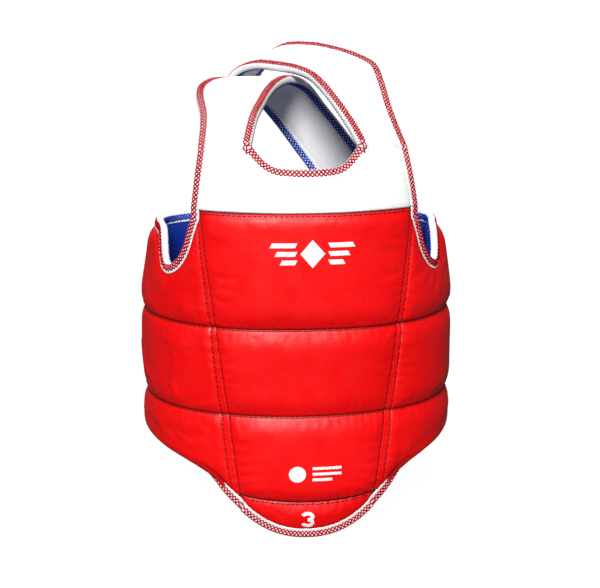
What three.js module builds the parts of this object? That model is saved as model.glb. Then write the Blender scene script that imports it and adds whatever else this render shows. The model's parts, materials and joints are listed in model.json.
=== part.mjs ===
// Reversible taekwondo trunk protector: three quilted rows of foam under vinyl covers, a padded
// yoke with two shoulder straps that cross behind the neck, and a hinged groin flap.
// Millimetres. The wearer faces -Y, +Z is up and +X is to the right as seen from
// the front. The origin is the centre of the wearer's torso, halfway down the trunk.
import * as THREE from 'three';

// Plan outline of the trunk's middle surface: a superellipse, flatter behind than in front.
const halfWidth = 188;
const frontDepth = 158;
const backDepth = 85;
const roundness = 2.2;
const rearEdge = 415; // distance round the outline from the front centre to a wing's rear edge

// Heights of the stitched seams.
const yokeSeam = 133;
const upperSeam = -8;
const lowerSeam = -116;
const flapSeamCentre = -225;
const flapSeamRise = 7; // how much higher the flap seam is at its ends
const flapHalfWidth = 82;
const flapLow = -271;
const flapEdgeRise = 49; // how much higher the flap's edge is at flapEdgeReach from its middle
const flapEdgeReach = 98;
const flapEdgePower = 2.25;

// The upright seams lean in towards the flap.
const sideSeamTop = { z: 116, u: 130 };
const sideSeamSlope = 0.129;

// The sides and back of the trunk draw in towards their top edge.
const drawIn = { from: 6, by: 14, full: 101, start: 170, end: 240 };

// Layers. Every half thickness is measured from the middle surface.
const foamHalfEdge = 2.2;
const trunkFoamHalf = 10;
const flapFoamHalf = 7;
const yokeFoamHalf = 4.6;
const coverThickness = 1;
const gap = 0.4;
const swellRadius = 34; // a pad reaches its full thickness this far from a seam
const seamGap = 0.5; // each pad stops this far short of its seam
const flapGap = { centre: 1.2, ends: 5 };

// Edge binding: webbing folded over the edge.
const tapeWidth = 14;
const tapeThickness = 1.2;
const tapeOverhang = 2;
const tapeClearance = 1.2; // the fold stands off the covers, which twist a little along an edge

// Lace loops of folded webbing.
const loop = { length: 20, depth: 12, width: 20, wall: 2, standOff: 5 };
const wingLoopHeights = { upper: 55, middle: -10, lower: -75 };

const red = new THREE.MeshStandardMaterial({ color: 0xe01a1e, roughness: 0.45, metalness: 0 });
const blue = new THREE.MeshStandardMaterial({ color: 0x1c3f9e, roughness: 0.45, metalness: 0 });
const white = new THREE.MeshStandardMaterial({ color: 0xf4f4f2, roughness: 0.5, metalness: 0 });
const tape = new THREE.MeshStandardMaterial({ color: 0xf2eeee, roughness: 0.9, metalness: 0 });
const foam = new THREE.MeshStandardMaterial({ color: 0xe8e2c8, roughness: 0.95, metalness: 0 });

const protector = new THREE.Group();

// ---- curves ---------------------------------------------------------------------------------

// A smooth height profile through [distance, height] points.
function profile(points) {
  const slope = points.map((point, k) => {
    const before = points[Math.max(k - 1, 0)];
    const after = points[Math.min(k + 1, points.length - 1)];
    return (after[1] - before[1]) / (after[0] - before[0]);
  });
  return (distance) => {
    const d = THREE.MathUtils.clamp(distance, points[0][0], points.at(-1)[0]);
    const k = Math.min(points.findLastIndex((point) => point[0] <= d), points.length - 2);
    const span = points[k + 1][0] - points[k][0];
    const t = (d - points[k][0]) / span;
    const rise = points[k + 1][1] - points[k][1];
    const a = slope[k] * span - rise;
    const b = rise - slope[k + 1] * span;
    return points[k][1] + t * rise + t * (1 - t) * (a * (1 - t) + b * t);
  };
}

// Armhole edge, then the wing's top edge, by distance round the trunk.
const wingTop = profile([
  [125, 129], [140, 128], [149, 107], [156, 87], [167, 70], [180, 61], [192, 60],
  [201, 68], [208, 82], [217, 94], [232, 100], [260, 102], [300, 101], [420, 101],
]);
const wingHem = profile([
  [80, -237], [88, -231], [104, -216], [120, -200], [136, -190], [160, -182],
  [190, -176], [220, -171], [260, -167], [320, -163], [420, -160],
]);

const flapSeam = (u) => flapSeamCentre + flapSeamRise * (u / flapHalfWidth) ** 2;
const flapEdge = (u) => flapLow + flapEdgeRise * Math.abs(u / flapEdgeReach) ** flapEdgePower;
const sideSeam = (z) => sideSeamTop.u - sideSeamSlope * (sideSeamTop.z - z);

const planSteps = 3000;
const plan = [{ u: 0, x: 0, y: -frontDepth }];
for (let i = 1; i <= planSteps; i++) {
  const angle = (Math.PI * i) / planSteps;
  const across = Math.cos(angle);
  const depth = across > 0 ? frontDepth : backDepth;
  const x = halfWidth * Math.sin(angle) ** (2 / roundness);
  const y = -depth * Math.sign(across) * Math.abs(across) ** (2 / roundness);
  const last = plan[i - 1];
  plan.push({ u: last.u + Math.hypot(x - last.x, y - last.y), x, y });
}

// The trunk's middle surface: u runs round from the front centre, towards +X when positive.
function trunk(u, z) {
  const distance = Math.abs(u);
  let low = 0;
  let high = planSteps;
  while (high - low > 1) {
    const middle = (low + high) >> 1;
    if (plan[middle].u <= distance) low = middle;
    else high = middle;
  }
  const t = (distance - plan[low].u) / (plan[high].u - plan[low].u);
  const x = THREE.MathUtils.lerp(plan[low].x, plan[high].x, t);
  const y = THREE.MathUtils.lerp(plan[low].y, plan[high].y, t);
  const rise = Math.max(z - drawIn.from, 0) / (drawIn.full - drawIn.from);
  const share = THREE.MathUtils.smoothstep(distance, drawIn.start, drawIn.end);
  const shrink = 1 - (share * drawIn.by * rise) / halfWidth;
  return new THREE.Vector3(Math.sign(u) * x * shrink, y * shrink, z);
}

// ---- pad thickness --------------------------------------------------------------------------

function swell(distance) {
  const short = 1 - THREE.MathUtils.clamp((distance - seamGap) / swellRadius, 0, 1);
  return Math.sqrt(1 - short * short);
}

// Cosine of an edge's slope, which turns a height above it into a distance from it.
function lean(edge, u) {
  const step = 2;
  return 1 / Math.hypot(1, (edge(u + step) - edge(u - step)) / (2 * step));
}

const padHalf = (full, ...distances) =>
  foamHalfEdge + (full - foamHalfEdge) * distances.reduce((fill, d) => fill * swell(d), 1);

function frontHalf(u, z) {
  const floor = flapSeam(u);
  return padHalf(trunkFoamHalf, sideSeam(z) - Math.abs(u), z - floor, yokeSeam - z,
    Math.abs(z - upperSeam), Math.abs(z - lowerSeam));
}

function wingHalf(signedU, z) {
  const u = Math.abs(signedU);
  const toTop = (wingTop(u) - z) * lean(wingTop, u) - tapeWidth;
  const toHem = (z - wingHem(u)) * lean(wingHem, u) - tapeWidth;
  return padHalf(trunkFoamHalf, u - sideSeam(z), rearEdge - u - tapeWidth, toTop, toHem,
    Math.abs(z - upperSeam), Math.abs(z - lowerSeam));
}

function flapHalf(u, z) {
  const toEdge = (z - flapEdge(u)) * lean(flapEdge, u) - tapeWidth;
  return padHalf(flapFoamHalf, flapSeam(u) - z, toEdge, flapHalfWidth - Math.abs(u));
}

// ---- solids ---------------------------------------------------------------------------------

function normalOf(surface, a, b, stepA, stepB) {
  const alongA = surface(a + stepA, b).sub(surface(a - stepA, b));
  const alongB = surface(a, b + stepB).sub(surface(a, b - stepB));
  return alongA.cross(alongB).normalize();
}

function addMesh(name, material, vertices, triangles) {
  const geometry = new THREE.BufferGeometry();
  const flat = vertices.flatMap((v) => [v.x, v.y, v.z]);
  geometry.setAttribute('position', new THREE.Float32BufferAttribute(flat, 3));
  geometry.setIndex(triangles);
  geometry.computeVertexNormals();
  const mesh = new THREE.Mesh(geometry, material);
  mesh.name = name;
  protector.add(mesh);
}

// A closed layer between two offsets from a surface, on a grid of surface positions.
function addLayer(name, material, sheet, grid, innerOffset, outerOffset) {
  const columns = grid.length;
  const rows = grid[0].length;
  const vertices = [];
  for (const offset of [innerOffset, outerOffset]) {
    for (const column of grid) {
      for (const [a, b] of column) {
        const normal = normalOf(sheet.surface, a, b, sheet.stepA, sheet.stepB);
        vertices.push(sheet.surface(a, b).addScaledVector(normal, offset(a, b)));
      }
    }
  }
  const at = (side, i, j) => (side * columns + i) * rows + j;
  const triangles = [];
  const quad = (p, q, r, s) => triangles.push(p, q, r, p, r, s);
  for (let i = 0; i + 1 < columns; i++) {
    for (let j = 0; j + 1 < rows; j++) {
      quad(at(1, i, j), at(1, i + 1, j), at(1, i + 1, j + 1), at(1, i, j + 1));
      quad(at(0, i, j), at(0, i, j + 1), at(0, i + 1, j + 1), at(0, i + 1, j));
    }
  }
  for (let i = 0; i + 1 < columns; i++) {
    quad(at(0, i, 0), at(0, i + 1, 0), at(1, i + 1, 0), at(1, i, 0));
    quad(at(0, i + 1, rows - 1), at(0, i, rows - 1), at(1, i, rows - 1), at(1, i + 1, rows - 1));
  }
  for (let j = 0; j + 1 < rows; j++) {
    quad(at(0, 0, j + 1), at(0, 0, j), at(1, 0, j), at(1, 0, j + 1));
    quad(at(0, columns - 1, j), at(0, columns - 1, j + 1), at(1, columns - 1, j + 1),
      at(1, columns - 1, j));
  }
  addMesh(name, material, vertices, triangles);
}

// Webbing folded round an edge. Each station gives the edge and the tape's inner line.
function addTape(name, sheet, stations) {
  const innerFace = foamHalfEdge + gap + coverThickness + tapeClearance;
  const outerFace = innerFace + tapeThickness;
  const section = [
    ['inner', outerFace], ['over', outerFace], ['over', -outerFace], ['inner', -outerFace],
    ['inner', -innerFace], ['edge', -innerFace], ['edge', innerFace], ['inner', innerFace],
  ];
  const beyond = (station, distance) => {
    const span = sheet.surface(...station.edge).distanceTo(sheet.surface(...station.inner));
    return station.edge.map((value, k) => value + ((value - station.inner[k]) * distance) / span);
  };
  const vertices = stations.flatMap((station) => {
    const places = {
      inner: station.inner,
      edge: beyond(station, tapeClearance),
      over: beyond(station, tapeOverhang),
    };
    return section.map(([place, offset]) => {
      const [a, b] = places[place];
      const normal = normalOf(sheet.surface, a, b, sheet.stepA, sheet.stepB);
      return sheet.surface(a, b).addScaledVector(normal, offset);
    });
  });
  const sides = section.length;
  const triangles = [];
  const quad = (p, q, r, s) => triangles.push(p, q, r, p, r, s);
  for (let k = 0; k + 1 < stations.length; k++) {
    for (let side = 0; side < sides; side++) {
      const here = k * sides;
      const there = here + sides;
      const next = (side + 1) % sides;
      // Both faces of the webbing split along the same diagonal, so a twisted stretch keeps its thickness.
      if (side % 4 === 2) quad(here + next, there + next, there + side, here + side);
      else quad(here + side, here + next, there + next, there + side);
    }
  }
  const end = (stations.length - 1) * sides;
  for (const [p, q, r, s] of [[0, 1, 6, 7], [1, 2, 5, 6], [2, 3, 4, 5]]) {
    quad(s, r, q, p);
    quad(end + p, end + q, end + r, end + s);
  }
  addMesh(name, tape, vertices, triangles);
}

// Foam, outer cover and inner cover of one padded panel.
function addCovers(prefix, sheet, half, grid, outerMaterial, innerMaterial) {
  const near = (a, b) => half(a, b) + gap;
  const far = (a, b) => half(a, b) + gap + coverThickness;
  addLayer(`${prefix}_outer_cover`, outerMaterial, sheet, grid, near, far);
  addLayer(`${prefix}_inner_cover`, innerMaterial, sheet, grid,
    (a, b) => -far(a, b), (a, b) => -near(a, b));
}

function addFoam(name, sheet, half, grid) {
  addLayer(name, foam, sheet, grid, (a, b) => -half(a, b), half);
}

// ---- trunk ----------------------------------------------------------------------------------

const trunkSheet = { surface: trunk, stepA: 0.5, stepB: 0.5 };

const mix = (low, high, t) => low + (high - low) * t;
const rowLines = (low, high, lowInset, highInset) => [
  (u) => low(u) + lowInset,
  (u) => low(u) + tapeWidth / lean(low, u),
  (u) => high(u) - tapeWidth / lean(high, u),
  (u) => high(u) - highInset,
];
const level = (z) => () => z;

// Where a line across, which leans with height, meets a line of heights, which varies with distance.
const settlePasses = 40;
function crossing(side, across, up) {
  let u = across(0);
  for (let pass = 0; pass < settlePasses; pass++) u = (u + across(up(Math.abs(u)))) / 2;
  return [side * u, up(Math.abs(u))];
}

function crossGrid(side, acrossLines, upLines) {
  const columns = acrossLines.map((across) => upLines.map((up) => crossing(side, across, up)));
  return side < 0 ? columns.reverse() : columns;
}

const rowNames = ['lower', 'middle', 'upper'];

function addTrunkPanel(prefix, side, half, acrossLines, bottom, top) {
  const seams = [bottom, level(lowerSeam), level(upperSeam), top];
  const lines = [0, 1, 2].flatMap((row) =>
    rowLines(seams[row], seams[row + 1], 0, 0).slice(row === 0 ? 0 : 1),
  );
  addCovers(prefix, trunkSheet, half, crossGrid(side, acrossLines, lines), red, blue);
  rowNames.forEach((row, k) => {
    const insets = [k === 0 ? 0 : seamGap, k === 2 ? 0 : seamGap];
    const grid = crossGrid(side, acrossLines, rowLines(seams[k], seams[k + 1], ...insets));
    addFoam(`${prefix}_foam_${row}`, trunkSheet, half, grid);
  });
}

const frontShares = [-1, -0.86, -0.5, -0.17, 0.17, 0.5, 0.86, 1];
const frontAcross = frontShares.map((t) => (z) => t * (sideSeam(z) - seamGap));
addTrunkPanel('front', 1, frontHalf, frontAcross, (u) => flapSeam(u) + seamGap,
  level(yokeSeam - seamGap));

// Shares of a wing's length, closest together along the curve of the armhole.
const wingShares = [0, 0.035, 0.085, 0.14, 0.2, 0.245, 0.275, 0.32, 0.42, 0.52, 0.61, 0.7, 0.8];
const lastWingStep = 1.4; // tape widths
const wingAcross = [
  ...wingShares.map((t) => (z) => mix(sideSeam(z) + seamGap, rearEdge, t)),
  () => rearEdge - lastWingStep * tapeWidth,
  () => rearEdge - tapeWidth,
  () => rearEdge,
];
for (const [prefix, side] of [['left_wing', -1], ['right_wing', 1]]) {
  addTrunkPanel(prefix, side, wingHalf, wingAcross, wingHem, wingTop);
}

// One tape runs along a wing's top edge, down its rear edge and back along its hem.
function wingTapeRoute(side) {
  const inner = (line, sign) => (u) => line(u) + (sign * tapeWidth) / lean(line, u);
  const columns = wingAcross.slice(0, -2);
  const along = (line, sign) =>
    columns.map((across) => ({
      edge: crossing(side, across, line),
      inner: crossing(side, across, inner(line, sign)),
    }));
  const rearInner = side * (rearEdge - tapeWidth);
  const corner = (line, sign) => ({
    edge: [side * rearEdge, line(rearEdge)],
    inner: [rearInner, inner(line, sign)(rearEdge - tapeWidth)],
  });
  const rear = [upperSeam + tapeWidth, upperSeam, lowerSeam].map((z) => ({
    edge: [side * rearEdge, z],
    inner: [rearInner, z],
  }));
  const top = along(wingTop, -1);
  const hem = along(wingHem, 1).reverse();
  const route = [...top, corner(wingTop, -1), ...rear, corner(wingHem, 1), ...hem];
  return side > 0 ? route.reverse() : route;
}
for (const [prefix, side] of [['left_wing', -1], ['right_wing', 1]]) {
  addTape(`${prefix}_binding`, trunkSheet, wingTapeRoute(side));
}

// ---- groin flap -----------------------------------------------------------------------------

const flapShares = [-1, -0.84, -0.6, -0.3, 0, 0.3, 0.6, 0.84, 1];
const flapColumns = flapShares.map((t) => t * flapHalfWidth);
const flapTapeShare = 0.6; // the most of the flap's height that its tape covers
const flapTop = (u) =>
  flapSeam(u) - mix(flapGap.centre, flapGap.ends, (u / flapHalfWidth) ** 2);
const flapTape = (u) => Math.min(tapeWidth, flapTapeShare * (flapTop(u) - flapEdge(u)));
const flapGrid = flapColumns.map((u) => {
  const low = flapEdge(u);
  const tapeLine = low + flapTape(u);
  const high = flapTop(u);
  return [[u, low], [u, tapeLine], [u, mix(tapeLine, high, 0.5)], [u, high]];
});
addCovers('groin_flap', trunkSheet, flapHalf, flapGrid, red, blue);
addFoam('groin_flap_foam', trunkSheet, flapHalf, flapGrid);
addTape('groin_flap_binding', trunkSheet,
  flapColumns.map((u) => ({ edge: [u, flapEdge(u)], inner: [u, flapEdge(u) + flapTape(u)] })));

// ---- yoke -----------------------------------------------------------------------------------

const strapRoot = { inner: [66, -117, 207], outer: [125, -95, 200] };
const neckLine = { halfWidth: 66, flat: 28, power: 2.2, z: 181, y: -148 };

// Top edge of the yoke: the neckline in the middle and a strap's root at each side.
function yokeTop(x) {
  const side = Math.sign(x) || 1;
  const [innerX, innerY, innerZ] = strapRoot.inner;
  const [outerX, outerY, outerZ] = strapRoot.outer;
  const away = Math.abs(x);
  if (away >= innerX) {
    const t = (away - innerX) / (outerX - innerX);
    return new THREE.Vector3(side * away, mix(innerY, outerY, t), mix(innerZ, outerZ, t));
  }
  const bend = Math.max((away - neckLine.flat) / (innerX - neckLine.flat), 0) ** neckLine.power;
  const back = (away / innerX) ** 2;
  return new THREE.Vector3(x, mix(neckLine.y, innerY, back), mix(neckLine.z, innerZ, bend));
}

const yokeHalfWidth = 143;
const yokeBend = { back: 0.12, up: 0.55 }; // the yoke rises before it leans back to the shoulders
function yoke(x, t) {
  const low = trunk(x, yokeSeam + 2 * gap);
  const high = yokeTop((x * strapRoot.outer[0]) / yokeHalfWidth);
  const bend = new THREE.Vector3((low.x + high.x) / 2, mix(low.y, high.y, yokeBend.back),
    mix(low.z, high.z, yokeBend.up));
  return new THREE.QuadraticBezierCurve3(low, bend, high).getPoint(t);
}
const yokeSheet = { surface: yoke, stepA: 0.5, stepB: 0.005 };
const yokeEdgeStep = tapeWidth / 60;

function yokeHalf(x, t) {
  const length = yoke(x, 0).distanceTo(yoke(x, 1));
  const neck = Math.abs(x) < neckLine.halfWidth ? (1 - t - yokeEdgeStep) * length : swellRadius;
  return padHalf(yokeFoamHalf, yokeHalfWidth - Math.abs(x) - tapeWidth, t * length, neck);
}

const yokeHalfColumns = [18, 34, 46, 56, 64, 74, 98, yokeHalfWidth - tapeWidth, yokeHalfWidth];
const yokeColumns = [...yokeHalfColumns.map((x) => -x).reverse(), 0, ...yokeHalfColumns];
const yokeRows = [0, 0.25, 0.5, 1 - yokeEdgeStep, 1];
const yokeGrid = yokeColumns.map((x) => yokeRows.map((t) => [x, t]));
addCovers('yoke', yokeSheet, yokeHalf, yokeGrid, white, white);
addFoam('yoke_foam', yokeSheet, yokeHalf, yokeGrid);
addTape('neck_binding', yokeSheet,
  yokeColumns.filter((x) => Math.abs(x) < neckLine.halfWidth).reverse()
    .map((x) => ({ edge: [x, 1], inner: [x, 1 - yokeEdgeStep] })));
for (const [prefix, side] of [['left', -1], ['right', 1]]) {
  const route = yokeRows.map((t) => ({
    edge: [side * yokeHalfWidth, t],
    inner: [side * (yokeHalfWidth - tapeWidth), t],
  }));
  addTape(`${prefix}_armhole_binding`, yokeSheet, side < 0 ? route.reverse() : route);
}

// ---- shoulder straps ------------------------------------------------------------------------

// Each strap is ruled between two edges, listed from its root on the yoke to its rear end.
// The first edge is the one towards -X. The right strap crosses over the left one.
const strapEdges = {
  left_strap: [
    [[-125, -95, 201], [-121, -60, 235], [-125, -25, 259], [-120, 0, 268], [-104, 25, 273],
      [-78, 55, 268], [-48, 80, 248], [-20, 98, 216], [8, 108, 178], [34, 112, 142],
      [50, 113, 112], [54, 112, 85]],
    [[-66, -117, 208], [-55, -78, 237], [-45, -50, 250], [-34, -22, 262], [-20, 8, 271],
      [0, 38, 274], [24, 66, 262], [46, 88, 236], [72, 100, 204], [96, 105, 170],
      [110, 106, 130], [114, 104, 85]],
  ],
  right_strap: [
    [[66, -117, 208], [56, -84, 229], [45, -57, 247], [36, -35, 260], [27, -15, 271],
      [17, 6, 280], [1, 25, 286], [-25, 52, 289], [-48, 72, 289], [-72, 94, 278],
      [-92, 106, 248], [-109, 110, 194], [-115, 108, 135], [-115, 106, 85]],
    [[125, -95, 201], [119, -70, 222], [113, -45, 246], [109, -15, 272], [103, 12, 292],
      [86, 32, 302], [60, 58, 310], [28, 84, 315], [-4, 102, 312], [-30, 116, 289],
      [-46, 121, 256], [-54, 121, 205], [-55, 119, 150], [-55, 116, 85]],
  ],
};

function strapSurface([first, second]) {
  const curves = [first, second].map(
    (points) => new THREE.CatmullRomCurve3(points.map((p) => new THREE.Vector3(...p))),
  );
  return (across, along) => {
    const t = THREE.MathUtils.clamp(along, 0, 1);
    const ends = curves.map((curve) => curve.getPoint(t));
    return ends[0].lerp(ends[1], across);
  };
}

const strapRootGap = 0.006;
const strapEnd = 0.95; // the rear end's length is measured from here to the last point
const stepsPerPoint = 1.6;
const lastStepGap = 0.012;
for (const [name, edges] of Object.entries(strapEdges)) {
  const surface = strapSurface(edges);
  const sheet = { surface, stepA: 0.01, stepB: 0.004 };
  const width = (along) => surface(0, along).distanceTo(surface(1, along));
  const inset = (along) => tapeWidth / width(along);
  const endLength = surface(0.5, strapEnd).distanceTo(surface(0.5, 1));
  const tapeLine = mix(1, strapEnd, (tapeWidth + 2 * tapeOverhang) / endLength);
  const padEnd = mix(1, strapEnd, (2 * tapeOverhang) / endLength);
  const steps = Math.round(edges[0].length * stepsPerPoint);
  const evenly = Array.from({ length: steps + 1 }, (_, k) =>
    mix(strapRootGap, tapeLine - lastStepGap, k / steps));
  const alongs = [...evenly, tapeLine, padEnd];
  const half = (across, along) => {
    const wide = width(along);
    const toEnd = ((tapeLine - along) / (1 - strapEnd)) * endLength;
    return padHalf(yokeFoamHalf, across * wide - tapeWidth, (1 - across) * wide - tapeWidth,
      toEnd);
  };
  const acrossLines = (along) => [0, inset(along), 0.5, 1 - inset(along), 1];
  const grid = [0, 1, 2, 3, 4].map((k) => alongs.map((along) => [acrossLines(along)[k], along]));
  addCovers(name, sheet, half, grid, white, white);
  addFoam(`${name}_foam`, sheet, half, grid);
  const edgeRoute = (across, inward) =>
    alongs.slice(0, -1).map((along) => ({
      edge: [across, along],
      inner: [across + inward * inset(along), along],
    }));
  const corner = (across, inward) => ({
    edge: [across, padEnd],
    inner: [across + inward * inset(tapeLine), tapeLine],
  });
  const route = [...edgeRoute(0, 1).slice(0, -1), corner(0, 1), corner(1, -1),
    ...edgeRoute(1, -1).slice(0, -1).reverse()];
  addTape(`${name}_binding`, sheet, route.reverse());
}

// ---- printed marks --------------------------------------------------------------------------

const transferThickness = 0.4;
function addTransfer(name, half, centre, width, height) {
  const columns = 6;
  const rows = 3;
  const grid = Array.from({ length: columns + 1 }, (_, i) =>
    Array.from({ length: rows + 1 }, (_, j) => [
      centre.u + width * (i / columns - 0.5),
      centre.z + height * (j / rows - 0.5),
    ]));
  const near = (u, z) => half(u, z) + coverThickness + 2 * gap;
  addLayer(name, white, trunkSheet, grid, near, (u, z) => near(u, z) + transferThickness);
}
addTransfer('chest_mark', frontHalf, { u: 4, z: 86 }, 92, 34);
addTransfer('lower_mark', frontHalf, { u: 8, z: -187 }, 66, 24);
addTransfer('size_numeral', flapHalf, { u: -1, z: -247 }, 14, 17);

// ---- lace loops -----------------------------------------------------------------------------

// A closed band of webbing: the lace runs through it along the band's width.
function addLoop(name, position, rotation) {
  const outline = (length, depth, radius) => {
    const shape = new THREE.Shape();
    const x = length / 2;
    const y = depth / 2;
    shape.moveTo(-x, -y);
    shape.lineTo(x - radius, -y);
    shape.absarc(x - radius, -y + radius, radius, -Math.PI / 2, 0);
    shape.absarc(x - radius, y - radius, radius, 0, Math.PI / 2);
    shape.lineTo(-x, y);
    shape.closePath();
    return shape;
  };
  const band = outline(loop.length, loop.depth, 3);
  band.holes.push(outline(loop.length - 2 * loop.wall, loop.depth - 2 * loop.wall, 1));
  const geometry = new THREE.ExtrudeGeometry(band, {
    depth: loop.width, bevelEnabled: false, curveSegments: 3,
  });
  geometry.translate(0, 0, -loop.width / 2);
  const mesh = new THREE.Mesh(geometry, tape);
  mesh.name = name;
  mesh.position.set(...position);
  mesh.rotation.set(...rotation);
  protector.add(mesh);
}

for (const [prefix, side] of [['left_wing', -1], ['right_wing', 1]]) {
  for (const [place, z] of Object.entries(wingLoopHeights)) {
    const edge = trunk(rearEdge, z + loop.width / 2);
    const x = side * (edge.x - loop.standOff - loop.length / 2);
    addLoop(`${prefix}_loop_${place}`, [x, edge.y, z], [0, side > 0 ? Math.PI : 0, 0]);
  }
}
for (const [name, edges] of Object.entries(strapEdges)) {
  const [first, second] = edges.map((edge) => edge.at(-1));
  const x = (first[0] + second[0]) / 2;
  const y = (first[1] + second[1]) / 2;
  const z = first[2] - loop.standOff - loop.length / 2;
  addLoop(`${name}_loop`, [x, y, z], [0, Math.PI / 2, 0]);
}

export default protector;
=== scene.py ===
import json
import math

import bmesh
import bpy
import numpy as np
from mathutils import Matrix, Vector
from mathutils.kdtree import KDTree


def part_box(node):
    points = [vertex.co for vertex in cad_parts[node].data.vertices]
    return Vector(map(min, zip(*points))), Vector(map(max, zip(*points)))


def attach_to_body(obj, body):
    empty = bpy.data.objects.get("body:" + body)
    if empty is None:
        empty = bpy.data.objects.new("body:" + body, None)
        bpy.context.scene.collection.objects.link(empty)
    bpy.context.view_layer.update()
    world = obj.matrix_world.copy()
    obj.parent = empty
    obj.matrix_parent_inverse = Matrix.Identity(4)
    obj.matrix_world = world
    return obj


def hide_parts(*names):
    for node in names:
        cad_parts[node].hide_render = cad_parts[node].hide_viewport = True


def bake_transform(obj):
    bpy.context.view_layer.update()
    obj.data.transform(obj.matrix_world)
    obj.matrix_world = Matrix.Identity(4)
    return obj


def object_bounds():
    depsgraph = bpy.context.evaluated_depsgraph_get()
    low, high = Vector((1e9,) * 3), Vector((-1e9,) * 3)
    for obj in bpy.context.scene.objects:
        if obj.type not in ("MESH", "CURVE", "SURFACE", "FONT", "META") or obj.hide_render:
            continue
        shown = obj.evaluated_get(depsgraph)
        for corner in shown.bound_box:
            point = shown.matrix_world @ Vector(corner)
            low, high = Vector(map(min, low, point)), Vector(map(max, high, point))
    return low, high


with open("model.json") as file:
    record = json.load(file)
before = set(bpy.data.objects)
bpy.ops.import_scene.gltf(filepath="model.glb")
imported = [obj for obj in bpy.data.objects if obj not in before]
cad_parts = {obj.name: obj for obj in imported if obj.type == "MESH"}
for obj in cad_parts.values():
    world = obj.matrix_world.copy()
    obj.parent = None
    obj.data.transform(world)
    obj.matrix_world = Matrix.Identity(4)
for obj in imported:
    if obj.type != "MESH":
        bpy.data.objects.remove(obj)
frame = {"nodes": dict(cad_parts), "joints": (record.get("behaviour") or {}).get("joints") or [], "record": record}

# Looks of the reversible trunk protector. Surfaces are worked out in millimetres over the CAD
# model's middle surfaces, and turned into metres when a mesh is made. -Y is the front.
cad_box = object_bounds()
MM = 0.001

# ---- driving values, in millimetres, as in the CAD model --------------------------------------

HALF_WIDTH = 188
FRONT_DEPTH = 158
BACK_DEPTH = 85
ROUNDNESS = 2.2
REAR_EDGE = 415
HEM_START = 88.0  # about how far from the front centre a wing's hem starts
SEAM_GAP = 0.5
FLAP_SEAM = -225
FLAP_SEAM_RISE = 7
FLAP_HALF_WIDTH = 82
FLAP_LOW = -271
FLAP_EDGE_RISE = 49
FLAP_EDGE_REACH = 98
FLAP_EDGE_POWER = 2.25
SIDE_SEAM_TOP = (116, 130)  # height, and distance from the front centre
SIDE_SEAM_SLOPE = 0.129
DRAW_IN = {"from": 6, "by": 14, "full": 101, "start": 170, "end": 240}

WING_TOP = [
    (125, 129), (140, 128), (149, 107), (156, 87), (167, 70), (180, 61), (192, 60),
    (201, 68), (208, 82), (217, 94), (232, 100), (260, 102), (300, 101), (420, 101),
]
WING_HEM = [
    (80, -237), (88, -231), (104, -216), (120, -200), (136, -190), (160, -182),
    (190, -176), (220, -171), (260, -167), (320, -163), (420, -160),
]

YOKE_HALF_WIDTH = 143
YOKE_BEND = (0.12, 0.55)  # how far back and how far up the yoke's middle bends
STRAP_ROOT_INNER = (66, -117, 207)
STRAP_ROOT_OUTER = (125, -95, 200)
NECK_END = STRAP_ROOT_INNER[0] * YOKE_HALF_WIDTH / STRAP_ROOT_OUTER[0]
NECK = {"flat": 28, "power": 2.2, "z": 181, "y": -148}

STRAP_EDGES = {
    "left_strap": (
        [(-125, -95, 201), (-121, -60, 235), (-125, -25, 259), (-120, 0, 268), (-104, 25, 273),
         (-78, 55, 268), (-48, 80, 248), (-20, 98, 216), (8, 108, 178), (34, 112, 142),
         (50, 113, 112), (54, 112, 85)],
        [(-66, -117, 208), (-55, -78, 237), (-45, -50, 250), (-34, -22, 262), (-20, 8, 271),
         (0, 38, 274), (24, 66, 262), (46, 88, 236), (72, 100, 204), (96, 105, 170),
         (110, 106, 130), (114, 104, 85)],
    ),
    "right_strap": (
        [(66, -117, 208), (56, -84, 229), (45, -57, 247), (36, -35, 260), (27, -15, 271),
         (17, 6, 280), (1, 25, 286), (-25, 52, 289), (-48, 72, 289), (-72, 94, 278),
         (-92, 106, 248), (-109, 110, 194), (-115, 108, 135), (-115, 106, 85)],
        [(125, -95, 201), (119, -70, 222), (113, -45, 246), (109, -15, 272), (103, 12, 292),
         (86, 32, 302), (60, 58, 310), (28, 84, 315), (-4, 102, 312), (-30, 116, 289),
         (-46, 121, 256), (-54, 121, 205), (-55, 119, 150), (-55, 116, 85)],
    ),
}

# Half thicknesses, out to the skin of a cover.
LOW = 3.6
TRUNK_FULL = 11.4
FLAP_FULL = 8.4
YOKE_FULL = 6.2
COVER = 1.0

# Edge binding.
TAPE_WIDTH = 10.8
TAPE_STATION = 3
NECK_STATION = 2
SIDE_STATION = 2.5
CORNER_RADIUS = 15
COVER_INSET = 6  # a cover ends this far inside the edge, under the tape
TUCK = {"from": 96, "full": 152, "back": (290, 388), "sink": 7, "below": 1.5, "low": -1.5}

# Threads.
BRAID_PERIOD = 14.7
BRAID_STEPS = 12
BRAID_MIDDLE = 3.6
BRAID_REACH = 4.0
BRAID_RADIUS = 0.95
SEAM_PITCH = 6.0
SEAM_STITCH = 4.3
SEAM_RADIUS = 0.6
DOUBLE_ROW = (5.2, 2.9)  # how far each row of an upright seam runs from it, low down and high up


def box_mm(node):
    low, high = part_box(node)
    return np.array(low) / MM, np.array(high) / MM


UPPER_SEAM = box_mm("front_foam_middle")[1][2] + SEAM_GAP
LOWER_SEAM = box_mm("front_foam_middle")[0][2] - SEAM_GAP
YOKE_SEAM = box_mm("front_foam_upper")[1][2] + SEAM_GAP

WINGS = {"left_wing": -1, "right_wing": 1}  # and the side of the object that each is on

# ---- curves and surfaces ----------------------------------------------------------------------


def stacked(*parts):
    """Points, from their separate coordinates."""
    return np.stack(np.broadcast_arrays(*parts), -1)


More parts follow.
